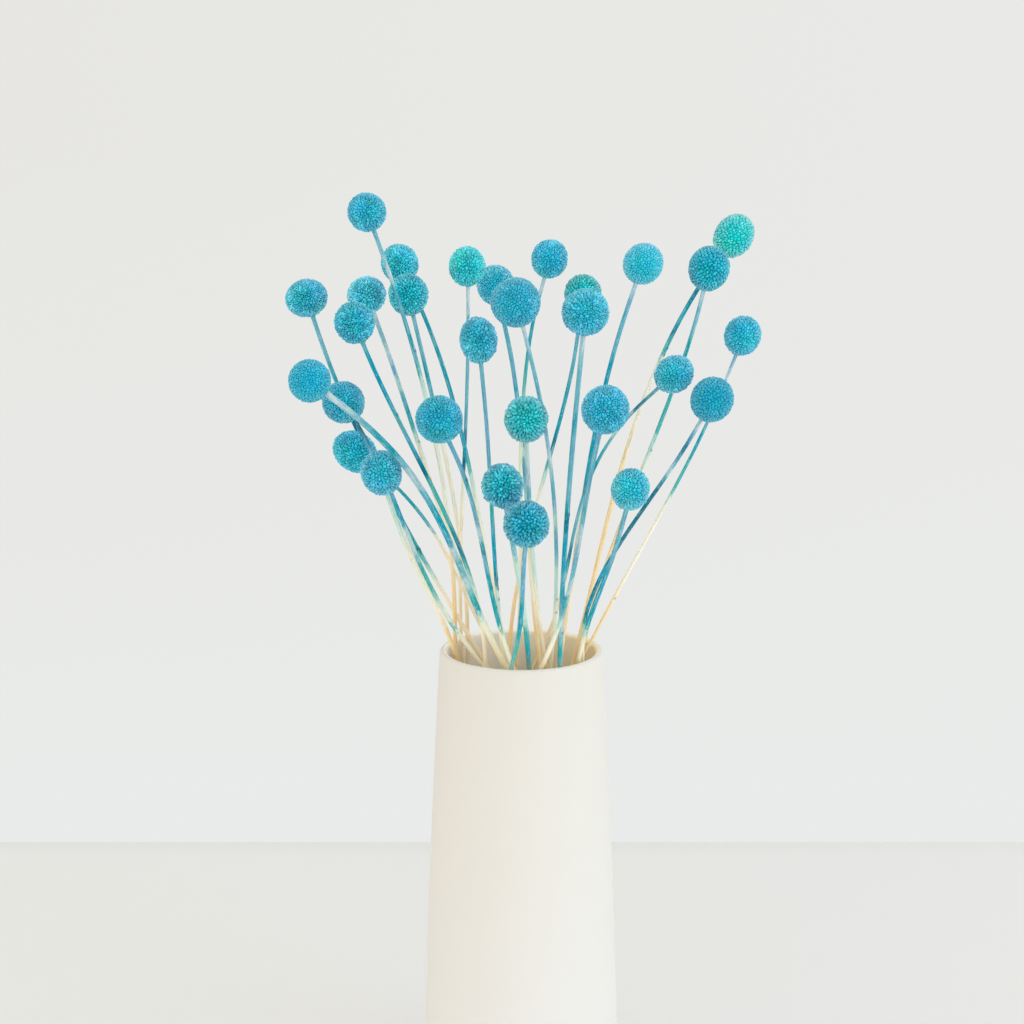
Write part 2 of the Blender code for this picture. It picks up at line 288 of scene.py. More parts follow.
# What dye each stem has taken up, 1 to 29, at heights in millimetres from the head down.
STEM_DYES = (
    "500 steel 487 ice 479 teal 466 steel 450 teal 440 steel 433 jade 427 mint 385 leaf"
    " 350 cream 310 amber 285 honey",
    "469 teal 452 teal 446 steel 441 teal 418 teal 390 cyan 381 teal 376 jade 370 mint"
    " 353 leaf 325 cream",
    "437 steel 423 teal 397 navy 350 teal 336 teal 330 jade 325 deep 321 jade 311 mint"
    " 306 leaf 297 cream",
    "461 ice 449 steel 440 ice 428 violet 422 mint 415 steel 405 teal 397 jade 390 mint"
    " 385 leaf 372 cream 300 shell",
    "448 steel 443 teal 437 cyan 412 cyan 409 jade 402 steel 392 cyan 378 deep 370 jade"
    " 359 jade 351 jade 335 deep 324 jade 312 mint 302 leaf 290 cream",
    "460 steel 440 steel 430 teal 413 steel 400 mint 390 cream 366 shell 354 leaf 345 shell"
    " 315 cream 290 shell",
    "424 ice 412 steel 402 teal 396 teal 388 steel 380 ice 372 steel 360 cyan 352 cyan"
    " 345 cyan 338 ice 331 steel 325 steel 319 ice 312 jade 307 teal 303 teal 298 mint"
    " 293 leaf",
    "401 navy 390 violet 349 cyan 341 ice 332 ice 326 steel 320 jade 308 jade 302 mint"
    " 293 leaf 290 mint 287 jade 284 mint 280 leaf",
    "376 teal 345 teal 340 steel 336 leaf 328 shell 300 cream 285 shell",
    "370 mint 350 mint 335 leaf 310 leaf 295 cream 283 amber",
    "405 violet 386 violet 382 teal 375 steel 360 violet 352 ice 346 teal 340 deep 336 violet"
    " 327 teal 311 teal 299 teal 294 jade 290 leaf 282 leaf 276 cream",
    "478 ice 465 ice 458 teal 436 steel 400 steel 388 deep 372 deep 367 leaf 350 cream"
    " 310 shell 285 shell",
    "440 steel 400 violet 375 steel 360 jade 350 teal 344 cyan 328 cyan 322 teal 317 deep"
    " 311 mint 300 mint 290 leaf",
    "466 teal 440 steel 423 violet 418 cyan 412 steel 388 jade 383 mint 377 steel 365 violet"
    " 343 mint 331 mint 322 shell 300 cream 283 amber",
    "464 ice 450 steel 434 steel 405 violet 389 ice 376 steel 366 violet 354 mint 345 steel"
    " 333 steel 325 mint 317 mint 309 mint 298 leaf 284 leaf",
    "483 ice 470 steel 455 teal 436 jade 424 jade 400 mint 385 leaf 375 leaf 361 cream"
    " 330 cream 300 shell 278 amber",
    "404 mint 390 ice 381 ice 374 steel 355 mint 325 mint 315 leaf 305 cream",
    "372 steel 345 steel 335 mint 316 mint 300 mint 293 jade 278 teal",
    "355 steel 343 violet 324 violet 319 steel 315 cyan 302 cyan 296 teal 288 jade 280 jade",
    "462 steel 440 steel 412 teal 395 teal 388 deep 381 steel 376 jade 368 mint 360 leaf"
    " 352 cream 320 shell 300 amber 282 honey",
    "458 ice 440 steel 417 steel 412 teal 400 steel 389 steel 378 steel 366 steel 361 teal"
    " 355 deep 343 cyan 328 cyan 320 steel 313 cyan 305 steel 300 violet 293 ice 287 violet"
    " 284 jade 276 teal",
    "411 violet 395 steel 383 violet 371 steel 360 steel 350 ice 338 violet 325 steel 317 ice"
    " 310 teal 303 steel 296 mint 289 leaf 284 cream",
    "482 ice 472 violet 458 steel 448 steel 438 cyan 427 cyan 397 cyan 382 cyan 370 teal"
    " 363 jade 358 mint 354 leaf 347 cream",
    "370 steel 350 steel 335 violet 325 cyan 315 cyan 300 teal 293 jade 289 mint 283 leaf",
    "426 steel 415 navy 405 mint 395 steel 384 teal 372 deep 360 steel 340 steel 328 deep"
    " 320 teal 310 mint 300 cream",
    "477 ice 466 steel 455 steel 450 jade 444 teal 441 teal 417 jade 398 jade 391 mint"
    " 385 mint 375 leaf 350 cream 340 amber 300 amber 282 amber",
    "494 steel 484 teal 472 deep 464 teal 456 teal 450 deep 445 jade 438 jade 432 leaf"
    " 420 cream 400 shell 375 amber 340 amber 310 amber",
    "410 ice 403 violet 395 navy 385 violet 382 ice 378 steel 370 navy 352 navy 335 deep"
    " 328 cyan 320 cyan 312 deep 304 cyan 296 deep 290 jade 286 mint 280 leaf",
    "439 violet 425 ice 398 steel 392 cyan 385 teal 376 jade 363 jade 357 mint 352 leaf"
    " 345 cream 310 cream 290 amber",
)

# Dark scars and nodes on the stems, as heights in millimetres, by flower.
SCARS = {
    1: (444,),
    3: (325,),
    4: (388,),
    5: (410, 337),
    7: (331,),
    11: (383, 319, 307),
    13: (318, 312, 306),
    15: (307, 299),
    19: (300,),
    20: (378,),
    21: (358, 310, 289),
    26: (386,),
    27: (441, 437),
    29: (298,),
}


def unit(vectors):
    """Vectors scaled to a length of one."""
    return vectors / np.linalg.norm(vectors, axis=-1, keepdims=True)


def blend(start, end, share):
    """A colour part of the way between two."""
    return tuple(a * (1 - share) + b * share for a, b in zip(start, end))


def graded(least_and_growth, amount):
    """A value that grows with an amount, from the least that it is."""
    least, growth = least_and_growth
    return least + growth * amount


def in_scene(name, data):
    """A new object, in the scene."""
    made = bpy.data.objects.new(name, data)
    bpy.context.scene.collection.objects.link(made)
    return made


# ---- Reading the frame -------------------------------------------------------


def cad_points(node):
    """The CAD node's corners."""
    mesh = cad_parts[node].data
    points = np.empty(len(mesh.vertices) * 3)
    mesh.vertices.foreach_get("co", points)
    return points.reshape(-1, 3)


def cad_edges(node):
    """Both ends of each of the CAD node's edges."""
    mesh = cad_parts[node].data
    ends = np.empty(len(mesh.edges) * 2, dtype=np.int32)
    mesh.edges.foreach_get("vertices", ends)
    return cad_points(node)[ends.reshape(-1, 2)]


def section(edges, height):
    """Where the edges pass a height."""
    low, high = edges[:, 0], edges[:, 1]
    crossing = (low[:, 2] - height) * (high[:, 2] - height) < 0
    low, high = low[crossing], high[crossing]
    share = (height - low[:, 2]) / (high[:, 2] - low[:, 2])
    return low + (high - low) * share[:, None]


def stem_route(node):
    """The middle of a CAD stem, foot first, as a smooth line, and its radius."""
    edges = cad_edges(node)
    low, high = edges[..., 2].min(), edges[..., 2].max()
    margin = STEM_STEP / 2
    count = round((high - low) / STEM_STEP)
    heights = np.linspace(low + margin, high - margin, count)
    cuts = [section(edges, height) for height in heights]
    route = np.array([(cut.min(axis=0) + cut.max(axis=0)) / 2 for cut in cuts])
    middle = count // 2
    along = unit(route[middle + 1] - route[middle - 1])
    offset = cuts[middle] - route[middle]
    offset -= (offset @ along)[:, None] * along
    radius = np.linalg.norm(offset, axis=1).max()
    for _ in range(STEM_SMOOTHING):
        route[1:-1] += (route[:-2] + route[2:] - 2 * route[1:-1]) / 4
    foot = route[0] + (route[0] - route[1]) * (margin + FOOT_TO_FLOOR) / STEM_STEP
    foot[2] = low - FOOT_TO_FLOOR / 2
    end = route[-1] + unit(route[-1] - route[-2]) * (margin + STEM_INTO_HEAD)
    return np.vstack((foot, route, end)), radius


def head_frame(node, stem_end):
    """A CAD head's middle, its axis away from the stem, and its half width and half height."""
    points = cad_points(node)
    middle = (points.min(axis=0) + points.max(axis=0)) / 2
    axis = unit(middle - stem_end)
    along = (points - middle) @ axis
    across = np.linalg.norm(points - middle - along[:, None] * axis, axis=1)
    return middle, axis, across.max(), along.max()


# ---- Node trees --------------------------------------------------------------


class Nodes:
    """A node tree whose nodes are added one at a time."""

    def __init__(self, tree):
        self.tree = tree

    def feed(self, socket, value):
        if isinstance(value, bpy.types.NodeSocket):
            self.tree.links.new(value, socket)
        else:
            socket.default_value = value

    def add(self, kind, inputs, output=0, **settings):
        made = self.tree.nodes.new("ShaderNode" + kind)
        for name, value in settings.items():
            setattr(made, name, value)
        for name, value in inputs.items():
            self.feed(made.inputs[name], value)
        return made.outputs[output]

    def surface(self, shader):
        """Makes a shader the one that shows."""
        ends = (node for node in self.tree.nodes if node.bl_idname.startswith("ShaderNodeOutput"))
        self.feed(next(ends).inputs["Surface"], shader)

    def axis(self, vector, name):
        return self.add("SeparateXYZ", {"Vector": vector}, output=name)

    def math(self, operation, first, second=0.0, clamp=False):
        return self.add("Math", {0: first, 1: second}, operation=operation, use_clamp=clamp)

    def times(self, first, second, clamp=False):
        return self.math("MULTIPLY", first, second, clamp)

    def spread(self, value, low, high, to_low=0.0, to_high=1.0):
        """A value from low to high, stretched to run from to_low to to_high."""
        inputs = {0: value, 1: low, 2: high, 3: to_low, 4: to_high}
        return self.add("MapRange", inputs)

    def mix(self, share, first, second, way="MIX"):
        first = (*first, 1) if isinstance(first, tuple) else first
        second = (*second, 1) if isinstance(second, tuple) else second
        inputs = {0: share, 6: first, 7: second}
        return self.add("Mix", inputs, output=2, data_type="RGBA", blend_type=way)


class Recipe(Nodes):
    """A material's nodes."""

    def __init__(self, name):
        self.material = bpy.data.materials.new(name)
        self.material.use_nodes = True
        super().__init__(self.material.node_tree)
        self.shader = self.tree.nodes["Principled BSDF"]

    def place(self):
        return self.add("TexCoord", {}, output="Object")

    def attribute(self, name, output="Fac"):
        return self.add("Attribute", {}, output=output, attribute_name=name)

    def noise(self, vector, scale=1.0, detail=2.0, roughness=0.5):
        inputs = {"Vector": vector, "Scale": scale, "Detail": detail, "Roughness": roughness}
        return self.add("TexNoise", inputs)

    def stretched_noise(self, vector, scales, detail, roughness=0.5):
        """Noise with its own scale along each axis."""
        scaled = self.add("VectorMath", {0: vector, 1: scales}, operation="MULTIPLY")
        return self.noise(scaled, detail=detail, roughness=roughness)

    def ramp(self, share, stops):
        made = self.tree.nodes.new("ShaderNodeValToRGB")
        self.feed(made.inputs[0], share)
        elements = made.color_ramp.elements
        for _ in stops[2:]:
            elements.new(0.5)
        # Moving an element can reorder them, so the colours wait until all are in place.
        for element, (position, _) in zip(elements, stops):
            element.position = position
        for element, (_, colour) in zip(elements, stops):
            element.color = (*colour, 1)
        return made.outputs[0]

    def bump(self, height, distance, strength):
        inputs = {"Height": height, "Distance": distance, "Strength": strength}
        self.feed(self.shader.inputs["Normal"], self.add("Bump", inputs))

    def finish(self, colour, **constants):
        self.feed(self.shader.inputs["Base Color"], colour)
        for name, value in constants.items():
            self.feed(self.shader.inputs[name.replace("_", " ")], value)
        return self.material


# ---- Meshes ------------------------------------------------------------------


def join_faces(groups):
    """Flat corner and face-start arrays from groups of same-sized faces."""
    loops = [np.stack(group, axis=1).ravel() for group in groups]
    sizes = np.concatenate([np.full(len(group[0]), len(group)) for group in groups])
    return np.concatenate(loops), np.cumsum(sizes) - sizes


def new_mesh(name, points, groups):
    """A smooth mesh from corner places and groups of faces, each a tuple of corner arrays."""
    mesh = bpy.data.meshes.new(name)
    loops, starts = join_faces(groups)
    mesh.vertices.add(len(points))
    mesh.vertices.foreach_set("co", np.asarray(points, dtype=np.float32).ravel())
    mesh.loops.add(len(loops))
    mesh.loops.foreach_set("vertex_index", loops.astype(np.int32))
    mesh.polygons.add(len(starts))
    mesh.polygons.foreach_set("loop_start", starts.astype(np.int32))
    mesh.update(calc_edges=True)
    mesh.validate()
    mesh.polygons.foreach_set("use_smooth", np.ones(len(mesh.polygons), dtype=bool))
    return in_scene(name, mesh)


def tube_faces(rings, sides, flip=False):
    """Faces round a tube, with a fan at each end to one of the two corners after its rings."""
    here = np.arange(rings * sides).reshape(rings, sides)
    beside = np.roll(here, -1, axis=1)
    start = np.full(sides, rings * sides)
    if flip:
        walls = (here[:-1], here[1:], beside[1:], beside[:-1])
        fans = ((here[0], beside[0], start), (beside[-1], here[-1], start + 1))
    else:
        walls = (here[:-1], beside[:-1], beside[1:], here[1:])
        fans = ((beside[0], here[0], start), (here[-1], beside[-1], start + 1))
    return [tuple(corner.ravel() for corner in walls), *fans]


def store(piece, name, values, kind="FLOAT", field="value"):
    """Keeps a value for each corner under a name that the material reads."""
    layer = piece.data.attributes.new(name, kind, "POINT")
    layer.data.foreach_set(field, np.asarray(values, dtype=np.float32).ravel())


# ---- Flower heads ------------------------------------------------------------


def floret_directions(count, jitter, chance):
    """Even directions round a ball, along the spirals in which florets grow."""
    step = np.arange(count) + 0.5
    height = 1 - 2 * step / count
    ring = np.sqrt(1 - height * height)
    turn = step * GOLDEN_ANGLE
    places = np.column_stack((ring * np.cos(turn), ring * np.sin(turn), height))
    spacing = math.sqrt(4 * math.pi / count)
    return unit(places + chance.normal(0, jitter * spacing, places.shape))


def hull_triangles(places):
    """The triangles between neighbouring places on a ball."""
    shell = bmesh.new()
    for place in places:
        shell.verts.new(place)
    shell.verts.index_update()
    bmesh.ops.convex_hull(shell, input=shell.verts)
    bmesh.ops.triangulate(shell, faces=shell.faces)
    triangles = np.array([[corner.index for corner in face.verts] for face in shell.faces])
    shell.free()
    return triangles


def cells(places):
    """The cell round each place: its valley corners in order.

    Returns the valley corners' directions and, for each corner of each cell, the
    cell, the corner and the cell's next corner.
    """
    triangles = hull_triangles(places)
    valleys = unit(places[triangles].mean(axis=1))
    cell = triangles.ravel()
    valley = np.repeat(np.arange(len(triangles)), 3)
    out = places[cell]
    side = unit(np.cross(out, SIDEWAYS))
    other = np.cross(out, side)
    offset = valleys[valley] - out
    angle = np.arctan2((offset * other).sum(axis=1), (offset * side).sum(axis=1))
    order = np.lexsort((angle, cell))
    cell, valley = cell[order], valley[order]
    following = np.arange(1, len(cell) + 1)
    last = np.append(cell[1:] != cell[:-1], True)
    first = np.append(0, following[last][:-1])
    following[last] = first
    return valleys, cell, valley, following


def lumps(directions, chance):
    """A ball's slight unevenness, as a share of its radius."""
    total = np.zeros(len(directions))
    for _ in range(LUMP_WAVES):
        way = chance.normal(0, LUMP_PITCH, 3)
        total += np.sin(directions @ way + chance.uniform(0, 2 * math.pi))
    return total * LUMP_SIZE / math.sqrt(LUMP_WAVES)


class HeadShape:
    """A ball of florets on a unit sphere, gathered as corners, faces and their shades."""

    def __init__(self, half_width, look, chance):
        floret = look.floret * MM / half_width
        # Each floret has a hexagon of the ball to itself.
        count = round(4 * math.pi / floret**2 / math.sin(math.pi / 3))
        self.form = OPEN if look.floret >= OPEN_FROM_MM else CLOSED
        self.places = floret_directions(count, FLORET_JITTER * look.jitter, chance)
        self.valleys, self.cell, self.valley, self.following = cells(self.places)
        self.depth = floret * self.form.depth * graded(FLORET_RELIEF, look.relief)
        uneven = chance.normal(0, self.form.uneven, count)
        self.tall = np.clip(uneven, *FLORET_HEIGHTS) * self.depth
        self.wide = chance.uniform(*FLORET_WIDTHS, count)
        lean = chance.normal(0, FLORET_LEAN * floret, (count, 3))
        self.lean = lean - (lean * self.places).sum(axis=1)[:, None] * self.places
        self.tint = chance.uniform(0, 1, count)
        self.corners, self.crowns, self.tints, self.faces = [], [], [], []
        self.total = 0
        self.add_florets()
        self.add_bristles(chance, BRISTLE_WIDTH / half_width)

    def add_corners(self, directions, radius, crown, tint):
        """Adds corners and returns their numbers."""
        count = len(directions)
        self.corners.append(unit(directions) * np.broadcast_to(radius, count)[:, None])
        self.crowns.append(np.broadcast_to(crown, count))
        self.tints.append(np.broadcast_to(tint, count))
        numbers = np.arange(self.total, self.total + count)
        self.total += count
        return numbers

    def add_ring(self, ring, between=False):
        """Adds a corner towards each valley corner, or between two, a share of the way."""
        target = self.valleys[self.valley]
        if between:
            target = (target + target[self.following]) / 2
        middle = self.places[self.cell]
        way = middle + (target - middle) * (ring.width * self.wide[self.cell])[:, None]
        way += self.lean[self.cell] * ring.rise
        radius = 1 - self.depth * (1 - ring.rise) + self.tall[self.cell] * ring.rise
        return self.add_corners(way, radius, ring.crown, self.tint[self.cell])

    def add_florets(self):
        """Adds each floret's wall from its valleys up, and its domed middle."""
        low = 1 - self.depth
        ground = self.add_corners(self.valleys, low, VALLEY_CROWN, VALLEY_TINT)[self.valley]
        after = self.following
        if self.form is OPEN:
            waist = self.add_ring(OPEN_WAIST)
            lobe = self.add_ring(OPEN_LOBES)
            notch = self.add_ring(OPEN_NOTCHES, between=True)
            self.faces.append((ground, ground[after], waist[after], waist))
            self.faces.append((waist, waist[after], notch))
            self.faces.append((waist, notch, lobe))
            self.faces.append((waist[after], lobe[after], notch))
            rims = ((lobe, notch), (notch, lobe[after]))
        else:
            waist = self.add_ring(CLOSED_WAIST)
            rim = self.add_ring(CLOSED_RIM)
            self.faces.append((ground, ground[after], waist[after], waist))
            self.faces.append((waist, waist[after], rim[after], rim))
            rims = ((rim, rim[after]),)
        radius = 1 - self.depth * (1 - self.form.dome) + self.tall
        tips = self.add_corners(self.places + self.lean, radius, MIDDLE_CROWN, self.tint)
        for start, end in rims:
            self.faces.append((start, end, tips[self.cell]))

    def add_bristles(self, chance, half_width):
        """Adds fine closed spikes that stand out between the florets."""
        count = len(self.places)
        out = self.places[chance.choice(count, count)]
        side = unit(np.cross(out, chance.normal(0, 1, out.shape)))
        other = np.cross(out, side)
        root = out + side * self.depth * BRISTLE_ASIDE
        tilt = BRISTLE_TILT * self.depth * chance.normal(0, 1, out.shape)
        reach = chance.uniform(*BRISTLE_REACH, count)
        tip = self.add_corners(root + tilt, reach, BRISTLE_TIP_CROWN, BRISTLE_TINT)
        low = 1 - BRISTLE_ROOT * self.depth
        feet = []
        for corner in range(BRISTLE_SIDES):
            turn = 2 * math.pi * corner / BRISTLE_SIDES
            foot = root + half_width * (side * math.cos(turn) + other * math.sin(turn))
            feet.append(self.add_corners(foot, low, BRISTLE_FOOT_CROWN, BRISTLE_TINT))
        for foot, beside in zip(feet, feet[1:] + feet[:1]):
            self.faces.append((tip, foot, beside))
        self.faces.append(tuple(feet[::-1]))


def make_head(number, look, stem_end, chance):
    """A CAD head's florets, on a slightly lumpy ball that stands on the end of its stem."""
    middle, axis, half_width, half_height = head_frame(f"head_{number:02d}", stem_end)
    shape = HeadShape(half_width, look, chance)
    corners = np.vstack(shape.corners)
    corners *= 1 + lumps(unit(corners), chance)[:, None]
    size = np.array((half_width, half_width, half_height)) * HEAD_FILL
    turn = np.array(Vector(axis).to_track_quat("Z", "Y").to_matrix())
    head = new_mesh(f"florets_{number:02d}", corners * size @ turn.T + middle, shape.faces)
    store(head, "crown", np.concatenate(shape.crowns))
    store(head, "tint", np.concatenate(shape.tints))
    head.data.materials.append(floret_material(number, look, middle, half_width))
    return head


def floret_material(number, look, middle, half_width):
    """Dyed florets: dark where they part, paler on their sides and dusty on some tips, with
    painted sheen that makes the head paler and bluer at its sides than at its front.
    """
    recipe = Recipe(f"dyed_florets_{number:02d}")
    place = recipe.place()
    crown = recipe.attribute("crown")
    tint = recipe.attribute("tint")
    depth = recipe.axis(place, "Y")
    painted_sheen_span = middle[1] - half_width, middle[1] - SIDE_DEPTH * half_width

    patches = recipe.noise(place, scale=80, detail=1)
    bluest, greenest = look.green - PATCH_RANGE, look.green + PATCH_RANGE
    green = recipe.spread(patches, *PATCHES, bluest, greenest)
    # Painted sheen: the head's sides turn bluer than its front.
    painted_sheen_green_shift = recipe.spread(depth, *painted_sheen_span, *PAINTED_SHEEN_GREEN)
    green = recipe.math("ADD", green, painted_sheen_green_shift)
    top = recipe.mix(green, BLUE, GREEN)
    deep = recipe.mix(green, DEEP_BLUE, DEEP_GREEN)
    dusty = recipe.mix(green, DUSTY_BLUE, DUSTY_GREEN)

    # Painted sheen: the head's sides and back get paler flanks and more dust than its front.
    pale = recipe.spread(depth, *painted_sheen_span, *PAINTED_SHEEN_PALE)
    flank = recipe.mix(recipe.times(pale, graded(FLANK_PALE, look.pale)), top, dusty)
    body = recipe.mix(recipe.spread(crown, *FLANK_CROWN), deep, flank)
    body = recipe.mix(recipe.spread(crown, *TOP_CROWN), body, top)

    dust = recipe.spread(recipe.noise(place, scale=420), *DUST)
    dust = recipe.times(dust, recipe.spread(tint, *DUST_TINT))
    dust = recipe.times(dust, recipe.spread(crown, *DUST_CROWN_HIGH))
    dust = recipe.times(dust, recipe.spread(crown, *DUST_CROWN_LOW))
    dust = recipe.times(dust, pale)
    dust = recipe.times(dust, graded(DUST_PALE, look.pale), clamp=True)
    colour = recipe.mix(dust, body, dusty)
    colour = recipe.mix(recipe.spread(crown, *BRISTLE_CROWN), colour, BRISTLE)

    step = TINT_RANGE * look.relief
    value = recipe.spread(tint, 0, 1, (1 - step) * look.shade, (1 + step) * look.shade)
    cloud = recipe.noise(place, scale=150, detail=1)
    step = CLOUD_RANGE * min(look.relief, CLOUD_RELIEF)
    value = recipe.times(value, recipe.spread(cloud, *CLOUD, 1 - step, 1 + step))
    colour = recipe.add("HueSaturation", {"Value": value, "Color": colour})

    recipe.bump(recipe.noise(place, scale=2600), distance=0.0001, strength=0.4)
    return recipe.finish(
        colour,
        Roughness=0.9,
        Specular_IOR_Level=0.03,
        Sheen_Weight=min(1, graded(SHEEN_PALE, look.pale)),
        Sheen_Roughness=0.35,
        Sheen_Tint=(0.96, 0.97, 1.0, 1),
    )


# ---- Stems -------------------------------------------------------------------


def stem_stations(length, scars):
    """Distances along a stem: even steps, closer together at its neck and its scars."""
    neck = [length[-1] - NECK_LENGTH * share for share in NECK_STATIONS]
    marks = [scar + SCAR_LENGTH * share for scar in scars for share in SCAR_STATIONS]
    return np.unique(np.concatenate((length, neck, marks)))


def stem_thickness(length, radius, chance):
    """A stem's radius along its length: it tapers, swells a little and flares at its neck."""
    total = length[-1]
    thick = radius * (STEM_FOOT - STEM_TAPER * length / total)
    knots = np.arange(0, total + SWELL_STEP, SWELL_STEP)
    swell = np.clip(SWELL * chance.normal(0, 1, len(knots)), *SWELL_LIMITS)
    thick *= 1 + np.interp(length, knots, swell)
    flare = np.exp(-(((length - total) / (NECK_SPREAD * NECK_LENGTH)) ** 2))
    return thick * (1 + NECK_FLARE * flare)


def stem_relief(length, scars, turn, chance):
    """A stem's shape round each station, over its radius: twisted ribs, and its scars."""
    twist = length * chance.uniform(-RIB_TWIST, RIB_TWIST)
    relief = 1 + RIB_HEIGHT * np.cos(RIBS * turn[None] + twist[:, None])
    facing = np.clip(np.cos(turn - SCAR_TURN), 0, 1)
    for scar in scars:
        near = np.exp(-(((length - scar) / SCAR_LENGTH) ** 2))
        relief += SCAR_HEIGHT * near[:, None] * facing
    return relief


def stem_rings(route, turn, radii):
    """Corners round a route, station by station."""
    along = unit(np.gradient(route, axis=0))
    across = unit(np.array((1.0, 0, 0)) - along * along[:, :1])
    other = np.cross(along, across)
    around = np.cos(turn)[None, :, None] * across[:, None]
    around = around + np.sin(turn)[None, :, None] * other[:, None]
    return route[:, None] + around * radii[..., None]


def stem_grain(number, length, turn):
    """Each corner's place round its stem and along it, different on each stem."""
    around = np.tile(np.column_stack((np.cos(turn), np.sin(turn))), (len(length), 1))
    grain = np.column_stack((around, np.repeat(length, len(turn))))
    return np.vstack((grain, (0, 0, 0), (0, 0, length[-1]))) + (0, 0, number)


def make_stem(number, route, radius, chance):
    """A ribbed tube along a CAD stem, from the vase's floor into the head."""
    steps = np.linalg.norm(np.diff(route, axis=0), axis=1)
    length = np.append(0, np.cumsum(steps))
    scars = [np.interp(height * MM, route[:, 2], length) for height in SCARS.get(number, ())]
    stations = stem_stations(length, scars)
    route = np.column_stack([np.interp(stations, length, axis) for axis in route.T])
    turn = np.arange(STEM_SIDES) * 2 * math.pi / STEM_SIDES
    thick = stem_thickness(stations, radius, chance)
    radii = thick[:, None] * stem_relief(stations, scars, turn, chance)
    rings = stem_rings(route, turn, radii)
    points = np.vstack((rings.reshape(-1, 3), route[0], route[-1]))
    stem = new_mesh(f"dyed_stem_{number:02d}", points, tube_faces(len(route), STEM_SIDES))
    grain = stem_grain(number, stations, turn)
    store(stem, "grain", grain, kind="FLOAT_VECTOR", field="vector")
    stem.data.materials.append(stem_material(number))
    return stem


def dye_stops(number):
    """A stem's dyes as heights in metres and colours, from its foot up."""
    words = STEM_DYES[number - 1].split()
    stops = [(float(height) * MM, DYES[name]) for height, name in zip(words[::2], words[1::2])]
    last, colour = stops[-1]
    # Below the last dye, amber: the straw's own tan, deepened as painted warm shade down into the
    # vase's mouth.
    stops.append((last - DYE_END, blend(colour, DYES["amber"], 0.5)))
    stops.append((0.0, DYES["amber"]))
    return stops[::-1]


def stem_material(number):
    """A dyed stem: its dye runs out downwards, in streaks, over a straw-coloured base."""
    recipe = Recipe(f"dyed_stem_{number:02d}")
    height = recipe.axis(recipe.place(), "Z")
    grain = recipe.attribute("grain", "Vector")
    streaks = recipe.stretched_noise(grain, STREAK_SCALE, detail=4, roughness=0.65)
    blotches = recipe.stretched_noise(grain, BLOTCH_SCALE, detail=2)
    flecks = recipe.stretched_noise(grain, FLECK_SCALE, detail=3)

    stops = dye_stops(number)
    top = stops[-1][0]
    level = recipe.math("ADD", height, recipe.spread(blotches, *DYE_WANDER))
    share = recipe.spread(level, 0.0, top)
    colour = recipe.ramp(share, [(stop / top, dye) for stop, dye in stops])

    dyed = recipe.spread(height, *DYED_HEIGHTS)
    chalk = recipe.mix(dyed, CHALK_STRAW, CHALK_DYED)
    colour = recipe.mix(recipe.spread(streaks, *LIGHT_STREAKS), colour, chalk)
    shade = recipe.mix(dyed, STREAK_STRAW, STREAK_DYED)
    shaded = recipe.mix(1.0, colour, shade, way="MULTIPLY")
    colour = recipe.mix(recipe.spread(streaks, *DARK_STREAKS), colour, shaded)
    colour = recipe.mix(recipe.spread(flecks, *CHALK_FLECKS), colour, chalk)

    for scar in SCARS.get(number, ()):
        away = recipe.math("ABSOLUTE", recipe.math("SUBTRACT", height, scar * MM))
        facing = recipe.spread(recipe.axis(grain, "X"), *SCAR_SIDE)
        spot = recipe.times(recipe.spread(away, *SCAR_REACH), facing)
        colour = recipe.mix(spot, colour, SCAR)
    recipe.bump(streaks, distance=0.0003, strength=0.7)
    return recipe.finish(colour, Roughness=0.8, Specular_IOR_Level=0.1)


# ---- Vase --------------------------------------------------------------------


def vase_profile():
    """The CAD vase's profile, from the middle of its floor over the rim to its underside."""
    edges = cad_edges("vase")
    flat = (np.abs(edges[..., 1]) < ON_PLANE).all(axis=1)
    right = (edges[..., 0] > -ON_PLANE).all(axis=1)
    links = {}
    for first, second in np.round(edges[flat & right][..., (0, 2)], PROFILE_DECIMALS):
        links.setdefault(tuple(first), set()).add(tuple(second))
        links.setdefault(tuple(second), set()).add(tuple(first))
    ends = [point for point, others in links.items() if len(others) == 1]
    point = max(ends, key=lambda end: end[1])
    profile, before = [point], None
    while True:
        ahead = [other for other in links[point] if other != before and other != point]
        if not ahead:
            return np.array(profile)
        before, point = point, ahead[0]
        profile.append(point)


def rounded(profile, steps):
    """A smooth line through every point of a profile."""
    padded = np.vstack((2 * profile[0] - profile[1], profile, 2 * profile[-1] - profile[-2]))
    line = []
    for a, b, c, d in zip(padded, padded[1:], padded[2:], padded[3:]):
        reach = np.linalg.norm(c - b)
        start = unit(c - a) * reach
        end = unit(d - b) * reach
        for t in np.arange(steps) / steps:
            line.append(
                b * (2 * t**3 - 3 * t**2 + 1)
                + start * (t**3 - 2 * t**2 + t)
                + c * (3 * t**2 - 2 * t**3)
                + end * (t**3 - t**2)
            )
    line.append(profile[-1])
    return np.array(line)


def make_vase():
    """The CAD vase, turned finely enough to look round."""
    line = rounded(vase_profile(), VASE_STEPS)
    turn = np.arange(VASE_SIDES) * 2 * math.pi / VASE_SIDES
    wall = line[1:-1]
    radius, height = wall[:, :1], np.repeat(wall[:, 1:], VASE_SIDES, axis=1)
    rings = np.stack((radius * np.cos(turn), radius * np.sin(turn), height), axis=2)
    points = np.vstack((rings.reshape(-1, 3), (0, 0, line[0, 1]), (0, 0, line[-1, 1])))
    vase = new_mesh("turned_vase", points, tube_faces(len(wall), VASE_SIDES, flip=True))
    past_rim = wall[:, 1].argmax() + 1
    inside = np.clip((past_rim - np.arange(len(wall))) / 2, 0, 1)
    store(vase, "inside", np.concatenate((np.repeat(inside, VASE_SIDES), (1, 0))))
    vase.data.materials.append(vase_material())
    return vase


